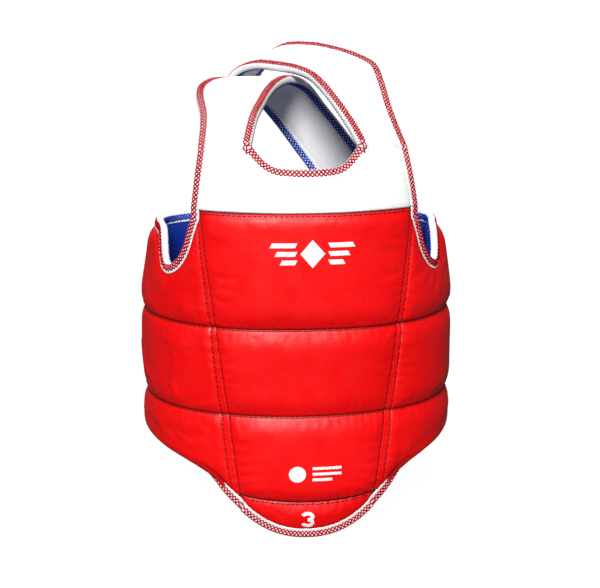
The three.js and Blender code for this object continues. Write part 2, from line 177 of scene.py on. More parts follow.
def travelled(points):
    """How far along a line each of its points lies."""
    return np.concatenate([[0], np.cumsum(np.linalg.norm(np.diff(points, axis=0), axis=1))])


def read_off(at, length, values):
    """Values that are known at some lengths, read off at others."""
    return stacked(*[np.interp(at, length, column) for column in values.T])


def mix(low, high, t):
    return low + (high - low) * t


def smooth(value, low, high):
    t = np.clip((value - low) / (high - low), 0, 1)
    return t * t * (3 - 2 * t)


def profile(points):
    """A smooth height profile through (distance, height) points."""
    x, y = np.array(points, float).T
    last = len(x) - 1
    slope = [
        (y[min(k + 1, last)] - y[max(k - 1, 0)]) / (x[min(k + 1, last)] - x[max(k - 1, 0)])
        for k in range(last + 1)
    ]
    slope = np.array(slope)

    def height(distance):
        d = np.clip(distance, x[0], x[-1])
        k = np.clip(np.searchsorted(x, d, side="right") - 1, 0, last - 1)
        span, rise = x[k + 1] - x[k], y[k + 1] - y[k]
        t = (d - x[k]) / span
        a, b = slope[k] * span - rise, rise - slope[k + 1] * span
        return y[k] + t * rise + t * (1 - t) * (a * (1 - t) + b * t)

    return height


wing_top = profile(WING_TOP)
wing_hem = profile(WING_HEM)


def flap_seam(u):
    return FLAP_SEAM + FLAP_SEAM_RISE * (u / FLAP_HALF_WIDTH) ** 2


def flap_edge(u):
    return FLAP_LOW + FLAP_EDGE_RISE * np.abs(u / FLAP_EDGE_REACH) ** FLAP_EDGE_POWER


def side_seam(z):
    height, distance = SIDE_SEAM_TOP
    return distance - SIDE_SEAM_SLOPE * (height - z)


def double_row(z):
    return mix(*DOUBLE_ROW, smooth(z, FLAP_SEAM, YOKE_SEAM))


def plan_outline():
    angle = np.linspace(0, np.pi, 3001)
    across = np.cos(angle)
    depth = np.where(across > 0, FRONT_DEPTH, BACK_DEPTH)
    x = HALF_WIDTH * np.abs(np.sin(angle)) ** (2 / ROUNDNESS)
    y = -depth * np.sign(across) * np.abs(across) ** (2 / ROUNDNESS)
    u = np.concatenate([[0], np.cumsum(np.hypot(np.diff(x), np.diff(y)))])
    return u, x, y


PLAN_U, PLAN_X, PLAN_Y = plan_outline()


def trunk_surface(u, z):
    distance = np.abs(u)
    x = np.interp(distance, PLAN_U, PLAN_X)
    y = np.interp(distance, PLAN_U, PLAN_Y)
    rise = np.maximum(z - DRAW_IN["from"], 0) / (DRAW_IN["full"] - DRAW_IN["from"])
    share = smooth(distance, DRAW_IN["start"], DRAW_IN["end"])
    shrink = 1 - share * DRAW_IN["by"] * rise / HALF_WIDTH
    return stacked(np.sign(u) * x * shrink, y * shrink, z)


def yoke_top(x):
    """The neckline in the middle, and the root of a strap at each side."""
    inner, outer = np.array(STRAP_ROOT_INNER, float), np.array(STRAP_ROOT_OUTER, float)
    away = np.abs(x)
    t = (away - inner[0]) / (outer[0] - inner[0])
    root = stacked(x, mix(inner[1], outer[1], t), mix(inner[2], outer[2], t))
    bend = np.maximum((away - NECK["flat"]) / (inner[0] - NECK["flat"]), 0) ** NECK["power"]
    back = (away / inner[0]) ** 2
    neck = stacked(x, mix(NECK["y"], inner[1], back), mix(NECK["z"], inner[2], bend))
    return np.where((away >= inner[0])[..., None], root, neck)


def yoke_surface(x, t):
    low = trunk_surface(x, YOKE_SEAM)
    high = yoke_top(x * STRAP_ROOT_OUTER[0] / YOKE_HALF_WIDTH)
    shares = np.array([0.5, *YOKE_BEND])
    bend = low + (high - low) * shares
    t = np.asarray(t)[..., None]
    return (1 - t) ** 2 * low + 2 * t * (1 - t) * bend + t**2 * high


def catmull(points):
    """A centripetal Catmull-Rom curve through points."""
    p = np.array(points, float)
    p = np.vstack([2 * p[0] - p[1], p, 2 * p[-1] - p[-2]])

    def curve(t):
        place = t * (len(p) - 3)
        k = np.clip(np.floor(place).astype(int), 0, len(p) - 4)
        w = (place - k)[..., None]
        p0, p1, p2, p3 = (p[k + i] for i in range(4))
        gaps = ((p0, p1), (p1, p2), (p2, p3))
        d0, d1, d2 = (np.linalg.norm(b - a, axis=-1, keepdims=True) ** 0.5 for a, b in gaps)
        t1 = ((p1 - p0) / d0 - (p2 - p0) / (d0 + d1) + (p2 - p1) / d1) * d1
        t2 = ((p2 - p1) / d1 - (p3 - p1) / (d1 + d2) + (p3 - p2) / d2) * d1
        square = -3 * p1 + 3 * p2 - 2 * t1 - t2
        cube = 2 * p1 - 2 * p2 + t1 + t2
        return p1 + t1 * w + square * w**2 + cube * w**3

    return curve


def strap_surface(name):
    first, second = (catmull(points) for points in STRAP_EDGES[name])

    def surface(across, along):
        share = np.asarray(across)[..., None]
        return first(along) * (1 - share) + second(along) * share

    return surface


def unit(v):
    return v / np.maximum(np.linalg.norm(v, axis=-1, keepdims=True), 1e-9)


class Sheet:
    """A middle surface over two parameters."""

    def __init__(self, surface, step_a, step_b):
        self.surface, self.step_a, self.step_b = surface, step_a, step_b

    def slopes(self, a, b):
        da, db = self.step_a, self.step_b
        along_a = (self.surface(a + da, b) - self.surface(a - da, b)) / (2 * da)
        along_b = (self.surface(a, b + db) - self.surface(a, b - db)) / (2 * db)
        return along_a, along_b

    def normal(self, a, b):
        return unit(np.cross(*self.slopes(a, b)))

    def lifted(self, a, b, height):
        return self.surface(a, b) + self.normal(a, b) * np.asarray(height)[..., None]

    def step(self, a, b, direction):
        """How the parameters change for each millimetre moved in a direction."""
        along_a, along_b = self.slopes(a, b)
        aa, bb = (along_a**2).sum(-1), (along_b**2).sum(-1)
        ab = (along_a * along_b).sum(-1)
        da, db = (along_a * direction).sum(-1), (along_b * direction).sum(-1)
        scale = aa * bb - ab * ab
        return (da * bb - db * ab) / scale, (db * aa - da * ab) / scale


trunk = Sheet(trunk_surface, 0.5, 0.5)
yoke = Sheet(yoke_surface, 0.5, 0.005)
straps = {name: Sheet(strap_surface(name), 0.01, 0.004) for name in STRAP_EDGES}

# ---- bound edges ------------------------------------------------------------------------------


class Edge:
    """A bound edge of a sheet: stations with a point, a normal and an inward direction."""

    def __init__(self, sheet, params, inward, spacing=TAPE_STATION):
        params = np.array(params, float)
        length = travelled(sheet.surface(params[:, 0], params[:, 1]))
        count = max(int(length[-1] / spacing) + 1, 3)
        params = read_off(np.linspace(0, length[-1], count), length, params)
        self.sheet, self.a, self.b = sheet, params[:, 0], params[:, 1]
        self.point = sheet.surface(self.a, self.b)
        self.normal = sheet.normal(self.a, self.b)
        along = unit(np.gradient(self.point, axis=0))
        self.inward = unit(np.cross(self.normal, along)) * inward
        self.step_a, self.step_b = sheet.step(self.a, self.b, self.inward)
        self.length = travelled(self.point)

    def at(self, inside, height):
        """Points this far inside the edge and this high over the middle surface."""
        inside, height = inside + 0 * self.a, height + 0 * self.a
        on = self.sheet.lifted(
            self.a + self.step_a * np.maximum(inside, 0),
            self.b + self.step_b * np.maximum(inside, 0),
            height,
        )
        return on + self.inward * np.minimum(inside, 0)[..., None]


def arc(centre, start, end, radius=CORNER_RADIUS):
    angles = np.radians(np.linspace(start, end, 13))
    return stacked(centre[0] + radius * np.cos(angles), centre[1] + radius * np.sin(angles))


def wing_edge(side):
    """From the yoke down round the armhole, along the top, down the rear and back along the hem."""
    turn = REAR_EDGE - CORNER_RADIUS
    top, low = float(wing_top(REAR_EDGE)), float(wing_hem(REAR_EDGE))
    over = np.linspace(YOKE_HALF_WIDTH - 1, turn, 400)
    under = np.linspace(turn, side_seam(wing_hem(HEM_START)), 300)
    line = np.vstack([
        [(YOKE_HALF_WIDTH, YOKE_SEAM)],
        stacked(over, wing_top(over)),
        arc((turn, top - CORNER_RADIUS), 90, 0),
        arc((turn, low + CORNER_RADIUS), 0, -90),
        stacked(under, wing_hem(under)),
    ])
    return Edge(trunk, line * (side, 1), -side)


def flap_line():
    u = np.linspace(-FLAP_HALF_WIDTH, FLAP_HALF_WIDTH, 200)
    return Edge(trunk, stacked(u, flap_edge(u)), 1)


def neck_line():
    return Edge(yoke, stacked(np.linspace(-NECK_END, NECK_END, 300), 1), -1, NECK_STATION)


def yoke_side(side):
    return Edge(yoke, stacked(side * YOKE_HALF_WIDTH, np.linspace(0, 1, 60)), side, SIDE_STATION)


def strap_edge(name):
    """Up the first edge, round the rear end and back down the second edge."""
    sheet = straps[name]
    end_part = 0.05
    middle, last, near = np.array([0.5]), np.array([1.0]), np.array([1 - end_part])
    width = np.linalg.norm(sheet.surface(0, last) - sheet.surface(1, last))
    length = np.linalg.norm(sheet.surface(middle, last) - sheet.surface(middle, near)) / end_part
    round_a, round_b = CORNER_RADIUS / width, CORNER_RADIUS / length
    up = np.linspace(0, 1 - round_b, 300)
    corner = arc((0, 0), 180, 90, 1)
    first = stacked(corner[:, 0] * round_a + round_a, corner[:, 1] * round_b + 1 - round_b)
    second = (first * (-1, 1) + (1, 0))[::-1]
    return Edge(sheet, np.vstack([stacked(0, up), first, second, stacked(1, up[::-1])]), -1)


wing_edges = {name: wing_edge(side) for name, side in WINGS.items()}
flap_bound = flap_line()
neck_bound = neck_line()
yoke_sides = {"left": yoke_side(-1), "right": yoke_side(1)}
strap_bounds = {name: strap_edge(name) for name in STRAP_EDGES}


def point_tree(points):
    tree = KDTree(len(points))
    for k, point in enumerate(points):
        tree.insert(point, k)
    tree.balance()
    return tree


class Nearest:
    """Finds how far points are from some lines of points, and where along those lines."""

    def __init__(self, *lines):
        self.along = np.concatenate([travelled(line) for line in lines])
        self.tree = point_tree(np.vstack(lines))

    def __call__(self, points):
        flat = points.reshape(-1, 3)
        found = [self.tree.find(p)[1:] for p in flat]
        away = np.array([f[1] for f in found]).reshape(points.shape[:-1])
        along = self.along[[f[0] for f in found]].reshape(points.shape[:-1])
        return away, along


def to_edges(*edges):
    return Nearest(*[edge.point for edge in edges])


flap_u = np.linspace(-FLAP_HALF_WIDTH, FLAP_HALF_WIDTH, 120)
to_flap_seam = Nearest(trunk.surface(flap_u, flap_seam(flap_u)))
to_trunk_binding = to_edges(*wing_edges.values(), flap_bound, *yoke_sides.values())
to_yoke_binding = to_edges(neck_bound, *yoke_sides.values(), *strap_bounds.values())

# ---- pad heights ------------------------------------------------------------------------------

# How far from each seam the pad takes to rise, and the share of its height that it loses there.
PULL = {
    "binding": (22, 1), "row": (30, 0.9), "side": (12, 0.36), "yoke": (16, 0.62), "flap": (17, 0.8),
}
# The reach, height and pitch of the small folds that run out from each seam.
FOLDS = {
    "row": (8, 0.16, 11), "side": (10, 0.5, 12.5), "binding": (8, 0.5, 8), "flap": (9, 0.5, 10.5),
    "sheet": (7, 0.35, 8),
}
TUCK_CROWN = 15  # the rise of a wing's pad from a hem that is tucked under it
TUCK_RISE = (1, 8)  # heights over that hem between which the skin comes out from under it
SWELLS = {"height": 0.9, "across": 46, "up": 34, "from_edge": 20}
DOUBLE_ROW_GROOVE = (0.7, 1.2)  # depth and width
# Creases drawn together where a side seam meets the flap's seam.
DRAWN = {"above": 24, "reach": 24, "narrow": 0.8, "height": 0.5, "pitch": 2.1, "lean": 9}
SHEET_CROWN = 16
SHEET_SWELLS = {"height": 0.35, "across": 37, "up": 31, "from_edge": 15}


def crown(distance, radius):
    """0 at a seam, rising on a quarter circle to 1 at the radius."""
    short = 1 - np.clip(distance / radius, 0, 1)
    return np.sqrt(1 - short**2)


def fall(distance, radius, depth):
    return 1 - depth * (1 - crown(distance, radius))


def ripple(a, b, seed):
    """A smooth, uneven pattern between about -1 and 1 with no randomness."""
    total = 0
    for k in range(4):
        turn = seed * 1.7 + k * 2.4
        scale = 1 + 0.37 * k
        total = total + np.sin(scale * (a * math.cos(turn) + b * math.sin(turn)) + seed + 1.3 * k)
    return total / 2.6


def pucker(distance, along, reach, size, pitch, seed):
    """Small folds that run out from a stitched line."""
    folds = np.sin(2 * np.pi * along / pitch + 1.8 * np.sin(along / 19 + seed) + seed)
    uneven = 0.55 + 0.45 * np.sin(along / 31 + 2.1 * seed)
    return size * folds * uneven * np.exp(-((distance / reach) ** 1.3)) * np.clip(distance, 0, 2) / 2


def row_groove(distance, depth, width):
    return -depth * np.exp(-((distance / width) ** 2))


def tuck_share(u):
    """Where a wing's pad bulges over its bottom binding and hides it: from 0 to 1."""
    away = np.abs(u)
    return smooth(away, TUCK["from"], TUCK["full"]) * (1 - smooth(away, *TUCK["back"]))


def swells(shape, room, across, up, seed):
    """Low, broad unevenness that fades towards the edge."""
    return shape["height"] * room * ripple(across / shape["across"], up / shape["up"], seed)


def seams_near(u, z):
    """Distances to the binding and along it, to the flap's seam, a quilting row and a side seam."""
    points = trunk.surface(u, z)
    rows = np.minimum(np.abs(z - UPPER_SEAM), np.abs(z - LOWER_SEAM))
    upright = np.abs(np.abs(u) - side_seam(z))
    return *to_trunk_binding(points), to_flap_seam(points)[0], rows, upright


def trunk_height(u, z, face=1):
    """How far a cover's skin stands off the trunk's middle surface."""
    seed = 4 - 3 * face
    edge, edge_along, flap, rows, upright = seams_near(u, z)
    edge = np.maximum(edge - TAPE_WIDTH + 1, 0)
    on_flap = (z < flap_seam(u)) & (np.abs(u) < FLAP_HALF_WIDTH + 1)
    full = np.where(on_flap, FLAP_FULL, TRUNK_FULL)
    over_hem = z - wing_hem(np.abs(u))
    tucked = tuck_share(u) * (z < LOWER_SEAM) * (face > 0)
    hem = crown(np.maximum(over_hem + TUCK["below"], 0), TUCK_CROWN)
    bound = mix(fall(edge, *PULL["binding"]), hem, tucked)
    low = mix(LOW, TUCK["low"], tucked * (1 - smooth(over_hem, *TUCK_RISE)))
    share = 1
    for distance, seam in (
        (np.abs(z - UPPER_SEAM), "row"), (np.abs(z - LOWER_SEAM), "row"),
        (np.maximum(upright - double_row(z), 0), "side"), (YOKE_SEAM - z, "yoke"), (flap, "flap"),
    ):
        share = share * fall(distance, *PULL[seam])
    height = low + (full - low) * share * bound
    room = smooth(edge, 0, SWELLS["from_edge"])
    height = height + swells(SWELLS, room, u, z, seed)
    for number, (part, distance, along, seam) in enumerate([
        (room, rows, u, "row"), (room, upright, z, "side"),
        (1 - tucked, edge, edge_along, "binding"), (1, flap, u, "flap"),
    ]):
        height = height + part * pucker(distance, along, *FOLDS[seam], seed + 2 + number)
    groove = row_groove(np.abs(upright - double_row(z)), *DOUBLE_ROW_GROOVE)
    height = height + groove * smooth(edge, 0, 3)
    away = np.hypot(upright * DRAWN["narrow"], z - FLAP_SEAM - DRAWN["above"]) / DRAWN["reach"]
    turns = z / DRAWN["pitch"] + np.abs(u) / DRAWN["lean"] + ripple(u / 9, z / 7, 2)
    height = height + DRAWN["height"] * room * np.exp(-away**2) * np.sin(turns)
    return np.maximum(height, low - 0.3)


def padded_height(binding, seed):
    """A height for a yoke or strap sheet, which has no quilting."""

    def height(points, a, b):
        away, along = binding(points)
        edge = np.maximum(away - TAPE_WIDTH + 1, 0)
        value = LOW + (YOKE_FULL - LOW) * crown(edge, SHEET_CROWN)
        value = value + pucker(edge, along, *FOLDS["sheet"], seed)
        room = smooth(edge, 0, SHEET_SWELLS["from_edge"])
        return value + swells(SHEET_SWELLS, room, points[..., 0], points[..., 2], seed)

    return height


# ---- materials --------------------------------------------------------------------------------


class Shader:
    """A material with a short way to add nodes."""

    def __init__(self, name, color, roughness):
        self.material = bpy.data.materials.new(name)
        self.material.use_nodes = True
        self.nodes = self.material.node_tree.nodes
        self.links = self.material.node_tree.links
        self.surface = self.nodes["Principled BSDF"]
        self.surface.inputs["Base Color"].default_value = (*color, 1)
        self.surface.inputs["Roughness"].default_value = roughness
        self.place = self.nodes.new("ShaderNodeTexCoord").outputs["Object"]

    def add(self, kind, inputs=None, **settings):
        node = self.nodes.new("ShaderNode" + kind)
        for key, value in settings.items():
            setattr(node, key, value)
        for key, value in (inputs or {}).items():
            if isinstance(value, bpy.types.NodeSocket):
                self.links.new(value, node.inputs[key])
            else:
                node.inputs[key].default_value = value
        return node

    def noise(self, scale, detail=2.0, rough=0.5):
        values = {"Vector": self.place, "Scale": scale, "Detail": detail, "Roughness": rough}
        return self.add("TexNoise", values).outputs["Fac"]

    def cells(self, scale):
        values = {"Vector": self.place, "Scale": scale, "Smoothness": 0.6}
        return self.add("TexVoronoi", values, feature="SMOOTH_F1").outputs["Distance"]

    def ranged(self, value, low, high, start=0.0, end=1.0):
        values = {"Value": value, "From Min": start, "From Max": end, "To Min": low, "To Max": high}
        return self.add("MapRange", values).outputs["Result"]

    def sum(self, first, second, operation="ADD"):
        return self.add("Math", {0: first, 1: second}, operation=operation).outputs[0]

    def blend(self, share, first, second):
        node = self.add("Mix", {"Factor": share}, data_type="RGBA")
        for name, value in (("A_Color", first), ("B_Color", second)):
            socket = next(s for s in node.inputs if s.identifier == name)
            if isinstance(value, bpy.types.NodeSocket):
                self.links.new(value, socket)
            else:
                socket.default_value = (*value, 1)
        return next(s for s in node.outputs if s.identifier == "Result_Color")

    def attribute(self, name):
        return self.add("Attribute", attribute_name=name).outputs["Fac"]

    def color(self, socket):
        self.links.new(socket, self.surface.inputs["Base Color"])

    def roughness(self, socket):
        self.links.new(socket, self.surface.inputs["Roughness"])

    def bump(self, height, distance, strength=1.0):
        node = self.add("Bump", {"Height": height, "Distance": distance, "Strength": strength})
        self.links.new(node.outputs["Normal"], self.surface.inputs["Normal"])


def vinyl(name, color, speckle_and_shade, pale, roughness=0.44, specular=0.36):
    """Coated vinyl: fine grain, softer creases, and painted shade that darkens it down in the seams."""
    shader = Shader(name, color, roughness)
    shader.surface.inputs["Specular IOR Level"].default_value = specular
    cloudy = shader.ranged(shader.noise(9, 3), 0, 1, 0.35, 0.65)
    toned = shader.blend(cloudy, color, pale)
    worn = shader.ranged(shader.noise(55, 4), 0, 0.35, 0.58, 0.75)
    worn = shader.sum(worn, shader.attribute("ridge"), "MULTIPLY")
    toned = shader.blend(worn, toned, pale)
    speckle = shader.ranged(shader.noise(820, 2, 0.6), 0, 0.22, 0.42, 0.7)
    toned = shader.blend(speckle, toned, speckle_and_shade)
    # Painted shade: the colour darkens towards the second colour along seams, the upright double rows and the
    # binding.
    seam_shade_share = shader.ranged(shader.attribute("painted_seam_shade"), 0, 0.85)
    shader.color(shader.blend(seam_shade_share, toned, speckle_and_shade))
    patches = shader.ranged(shader.noise(40, 3), roughness - 0.05, roughness + 0.08, 0.3, 0.7)
    shader.roughness(patches)
    grain = shader.sum(shader.cells(750), 0.8, "MULTIPLY")
    grain = shader.sum(grain, shader.sum(shader.noise(2100, 1), 0.35, "MULTIPLY"))
    wrinkles = shader.sum(shader.noise(85, 4, 0.6), 1.4, "MULTIPLY")
    shader.bump(shader.sum(grain, wrinkles), 0.00026, 0.7)
    return shader.material


def webbing(name, color):
    """A plain weave over the tape's own length and width, in UVs of a metre each way."""
    shader = Shader(name, color, 0.85)
    shader.surface.inputs["Sheen Weight"].default_value = 0.25
    shader.surface.inputs["Sheen Roughness"].default_value = 0.4
    uv = shader.add("UVMap").outputs["UV"]
    split = shader.add("SeparateXYZ", {"Vector": uv})
    turns = 2 * math.pi / 0.0016
    waves = []
    for axis in ("X", "Y"):
        scaled = shader.sum(split.outputs[axis], turns, "MULTIPLY")
        waves.append(shader.add("Math", {0: scaled}, operation="SINE").outputs[0])
    weave = shader.ranged(shader.sum(*waves, "MULTIPLY"), 0, 1, -1, 1)
    fuzz = shader.noise(1800, 2)
    dark = tuple(0.8 * c for c in color)
    shader.color(shader.blend(shader.ranged(weave, 0.5, 0, 0, 0.6), color, dark))
    shader.bump(shader.sum(weave, shader.sum(fuzz, 0.5, "MULTIPLY")), 0.00028, 0.6)
    return shader.material


def thread(name, color):
    """Twisted polyester thread."""
    shader = Shader(name, color, 0.5)
    shader.surface.inputs["Specular IOR Level"].default_value = 0.25
    tone = shader.ranged(shader.noise(700, 2), 0.0, 0.6, 0.3, 0.7)
    shader.color(shader.blend(tone, color, tuple(0.45 * c for c in color)))
    shader.bump(shader.noise(2600, 2), 0.0002, 0.6)
    return shader.material


def ink(name, color):
    """A slightly raised print with a fine, uneven face."""
    shader = Shader(name, color, 0.42)
    tone = shader.ranged(shader.noise(120, 3), 0, 0.4, 0.45, 0.75)
    shader.color(shader.blend(tone, color, tuple(0.9 * c for c in color)))
    shader.roughness(shader.ranged(shader.noise(60, 2), 0.36, 0.5, 0.3, 0.7))
    shader.bump(shader.sum(shader.cells(750), shader.noise(1900, 1)), 0.00012, 0.4)
    return shader.material


def foam_block(name, color):
    shader = Shader(name, color, 0.95)
    shader.bump(shader.cells(900), 0.0004, 0.8)
    return shader.material


# The second colour of each vinyl serves both its fine speckle and the painted shade along its seams.
MATERIALS = {
    "red_vinyl": vinyl("red_vinyl", (0.86, 0, 0.001), (0.06, 0, 0), (0.94, 0.002, 0.004)),
    "blue_vinyl": vinyl(
        "blue_vinyl", (0.004, 0.026, 0.29), (0.001, 0.003, 0.04), (0.006, 0.034, 0.35)
    ),
    "white_vinyl": vinyl(
        "white_vinyl", (0.92, 0.92, 0.92), (0.55, 0.55, 0.57), (0.95, 0.95, 0.95)
    ),
    "webbing": webbing("webbing", (0.88, 0.87, 0.88)),
    "red_thread": thread("red_thread", (0.46, 0.0, 0.01)),
    "blue_thread": thread("blue_thread", (0.01, 0.07, 0.5)),
    "white_print": ink("white_print", (0.9, 0.9, 0.9)),
    "foam": foam_block("foam", (0.8, 0.77, 0.66)),
}
dark_red_thread = thread("dark_red_thread", (0.11, 0.0, 0.003))

# ---- meshes -----------------------------------------------------------------------------------


def add_object(name, data):
    item = bpy.data.objects.new(name, data)
    bpy.context.scene.collection.objects.link(item)
    return item


def make(name, points, faces, slot, attributes=None, uv=None, material=None, flat=False):
    """A mesh object, with its faces turned outwards."""
    mesh = bpy.data.meshes.new(name)
    mesh.from_pydata((np.asarray(points) * MM).tolist(), [], faces)
    for key, values in (attributes or {}).items():
        layer = mesh.attributes.new(key, "FLOAT", "POINT")
        layer.data.foreach_set("value", np.asarray(values, np.float32).ravel())
    if uv is not None:
        layer = mesh.uv_layers.new(name="UVMap")
        corner = np.zeros(len(mesh.loops), int)
        mesh.loops.foreach_get("vertex_index", corner)
        layer.data.foreach_set("uv", (np.asarray(uv)[corner] * MM).astype(np.float32).ravel())
    work = bmesh.new()
    work.from_mesh(mesh)
    bmesh.ops.recalc_face_normals(work, faces=work.faces)
    work.to_mesh(mesh)
    work.free()
    if not flat:
        mesh.shade_smooth()
    mesh.materials.append(material or MATERIALS[slot])
    piece = add_object(name, mesh)
    return piece


def grid_faces(rows, columns, start=0, closed=False):
    """Quads between rows of points; closed joins the last column to the first."""
    r, c = np.meshgrid(np.arange(rows - 1), np.arange(columns - (not closed)), indexing="ij")
    here = start + r * columns + c
    next_column = start + r * columns + (c + 1) % columns
    quads = np.stack([here, next_column, next_column + columns, here + columns], -1)
    return quads.reshape(-1, 4).tolist()


def tube_faces(count, sides, start=0):
    """The faces of a tube of rings, closed at both ends."""
    ends = (start, start + (count - 1) * sides)
    caps = [list(range(end, end + sides)) for end in ends]
    return grid_faces(count, sides, start, closed=True) + caps


def shell(name, outer, inner, slot, attributes):
    """A closed cover between two grids of points."""
    rows, columns = outer.shape[:2]
    count = rows * columns
    faces = grid_faces(rows, columns) + grid_faces(rows, columns, count)
    index = np.arange(count).reshape(rows, columns)
    rim = np.concatenate([index[0], index[1:, -1], index[-1, -2::-1], index[-2:0:-1, 0]])
    after = np.roll(rim, -1)
    faces += np.stack([rim, after, after + count, rim + count], -1).tolist()
    doubled = {key: np.tile(values.ravel(), 2) for key, values in attributes.items()}
    points = np.concatenate([outer.reshape(-1, 3), inner.reshape(-1, 3)])
    return make(name, points, faces, slot, doubled)


def tubes(name, lines, normals, radius, slot, material=None, sides=5):
    """Threads along lines of points, each closed at its ends."""
    points, faces = [], []
    turn = np.linspace(0, 2 * np.pi, sides, endpoint=False)
    start = 0
    for line, normal in zip(lines, normals):
        along = unit(np.gradient(line, axis=0))
        across = unit(np.cross(along, normal))
        up = np.cross(across, along)
        ring = across[:, None] * np.cos(turn)[:, None] + up[:, None] * np.sin(turn)[:, None]
        points.append((line[:, None] + radius * ring).reshape(-1, 3))
        faces += tube_faces(len(line), sides, start)
        start += len(line) * sides
    return make(name, np.concatenate(points), faces, slot, material=material)


# ---- riding on bodies -------------------------------------------------------------------------

FRONT = "trunk_front"
BEND_REACH = {"left_wing": 30, "right_wing": 30, "left_strap": 34, "right_strap": 34}
FLAP_BEND = (-217, -246)  # heights between which the flap bends
joint_of = {joint["child"]: joint for joint in frame["joints"]}


def bend_line(body):
    """Where a piece of this body starts and ends its bend away from the front, in metres."""
    place = np.array(joint_of[body]["pos_m"], float)
    if body == "groin_flap":
        return [(place[0], place[1], z * MM) for z in FLAP_BEND]
    if body in straps:
        root, further = straps[body].surface(np.array([0.5, 0.5]), np.array([0.0, 0.04]))
        direction = unit(further - root)
        place = root * MM
    else:
        side = np.sign(place[0])
        z = place[2] / MM
        along, _ = trunk.slopes(np.array([side * side_seam(z)]), np.array([z]))
        axis = np.array(joint_of[body]["axis"], float)
        direction = side * along[0]
        direction = unit(direction - axis * (direction @ axis))
    return place, place + direction * BEND_REACH[body] * MM


def attach(piece, body):
    """Rides the trunk front; a piece of any other body only has its transform baked into its mesh."""
    if body == FRONT:
        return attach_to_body(piece, FRONT)
    start, end = bend_line(body)
    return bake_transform(piece)


# ---- cloth ------------------------------------------------------------------------------------

CLOTH_FRAMES = 20
CLOTH_PRESSURE = 3.0
CLOTH_SLACK = 0.02  # how much larger the cloth is cut than the pad under it
SETTLE_SINK, SETTLE_SWELL = 1.0, 1.6  # how far the cloth may sink or swell, in millimetres
SETTLE_SMOOTHING = 2  # rounds in which each point moves towards its neighbours


def settle(points, normal, loose):
    """Lets a cover swell as cloth, held where loose is 0; gives how far each point moves out."""
    rows, columns = points.shape[:2]
    flat = points.reshape(-1, 3)
    mesh = bpy.data.meshes.new("settling")
    mesh.from_pydata((flat * MM).tolist(), [], grid_faces(rows, columns))
    piece = add_object("settling", mesh)
    held = piece.vertex_groups.new(name="held")
    for k, value in enumerate(loose.ravel()):
        held.add([k], 1 - float(value), "REPLACE")
    cloth = piece.modifiers.new("cloth", "CLOTH")
    settings = cloth.settings
    settings.quality = 6
    settings.mass = 0.2
    settings.tension_stiffness = settings.compression_stiffness = 12
    settings.shear_stiffness = 4
    settings.bending_stiffness = 0.2
    settings.vertex_group_mass = "held"
    settings.use_pressure = True
    settings.uniform_pressure_force = CLOTH_PRESSURE
    settings.shrink_min = -CLOTH_SLACK
    settings.effector_weights.gravity = 0
    cloth.collision_settings.use_collision = False
    cloth.point_cache.frame_start, cloth.point_cache.frame_end = 1, CLOTH_FRAMES
    for moment in range(1, CLOTH_FRAMES + 1):
        bpy.context.scene.frame_set(moment)
    settled = piece.evaluated_get(bpy.context.evaluated_depsgraph_get())
    moved = np.zeros(flat.size)
    settled.data.vertices.foreach_get("co", moved)
    bpy.data.objects.remove(piece)
    bpy.data.meshes.remove(mesh)
    bpy.context.scene.frame_set(1)
    out = ((moved.reshape(points.shape) / MM - points) * normal).sum(-1)
    limit = np.where(out < 0, SETTLE_SINK, SETTLE_SWELL)
    out = limit * np.tanh(out / limit)
    for _ in range(SETTLE_SMOOTHING):
        padded = np.pad(out, 1, mode="edge")
        beside = padded[:-2, 1:-1] + padded[2:, 1:-1] + padded[1:-1, :-2] + padded[1:-1, 2:]
        out = out / 2 + beside / 8
    return out * np.clip(loose * 1.5, 0, 1)


# ---- covers of the trunk ----------------------------------------------------------------------

FINE, COARSE, FINE_ZONE = 1.0, 2.8, 9
LEAN_ROUNDS = 40
WING_ROWS = (90, 108, 110)  # about how high each row of a wing's quilting is
# How far the painted shade reaches from the seams and the binding, and how dark it is beside the upright rows and
# inside the binding.
SEAM_SHADE_REACH = {"seam": 1.6, "binding": 1.5}
SEAM_SHADE_DEPTH = {"side": 0.5, "binding": 0.6}
LOOSE = (1, 9)  # distances from a seam between which the cloth comes free
HEM_HELD = 12  # how far over a tucked hem the cloth is held


def spaced(length):
    """Shares of a length, closer together near both of its ends."""
    near = np.arange(0, FINE_ZONE, FINE)
    middle = np.linspace(FINE_ZONE, length - FINE_ZONE, max(int(length / COARSE), 3))
    return np.concatenate([near, middle, length - near[::-1]]) / length


def trunk_grid(across, levels, shares):
    """Settles lines across, which lean with height, on lines of heights, which vary across."""
    rows = []
    for low, high, share in zip(levels[:-1], levels[1:], shares):
        for t in share[1:] if rows else share:
            u = across(0.0)
            for _ in range(LEAN_ROUNDS):
                u = (u + across(mix(low(np.abs(u)), high(np.abs(u)), t))) / 2
            rows.append(stacked(u, mix(low(np.abs(u)), high(np.abs(u)), t)))
    return np.array(rows)


settled_covers = []


def settled_height(u, z):
    """The height of the outer skin after the cloth has settled."""
    tree = point_tree(np.vstack([points for points, _ in settled_covers]))
    swell = np.concatenate([values for _, values in settled_covers])
    moved = []
    for point in trunk.surface(u, z):
        near = tree.find_n(point, 4)
        weights = np.array([1 / (n[2] + 0.1) for n in near])
        moved.append((weights * swell[[n[1] for n in near]]).sum() / weights.sum())
    return trunk_height(u, z) + np.array(moved)


def add_skin(name, face, points, normal, height, looks, slot, nodes, body):
    """The cover on one face of a pad: a closed skin."""
    outer = points + normal * (face * height)[..., None]
    inner = points + normal * (face * (height - COVER))[..., None]
    side = "outer" if face > 0 else "inner"
    piece = shell(f"{name}_{side}_skin", outer, inner, slot, looks)
    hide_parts(*nodes)
    attach(piece, body)


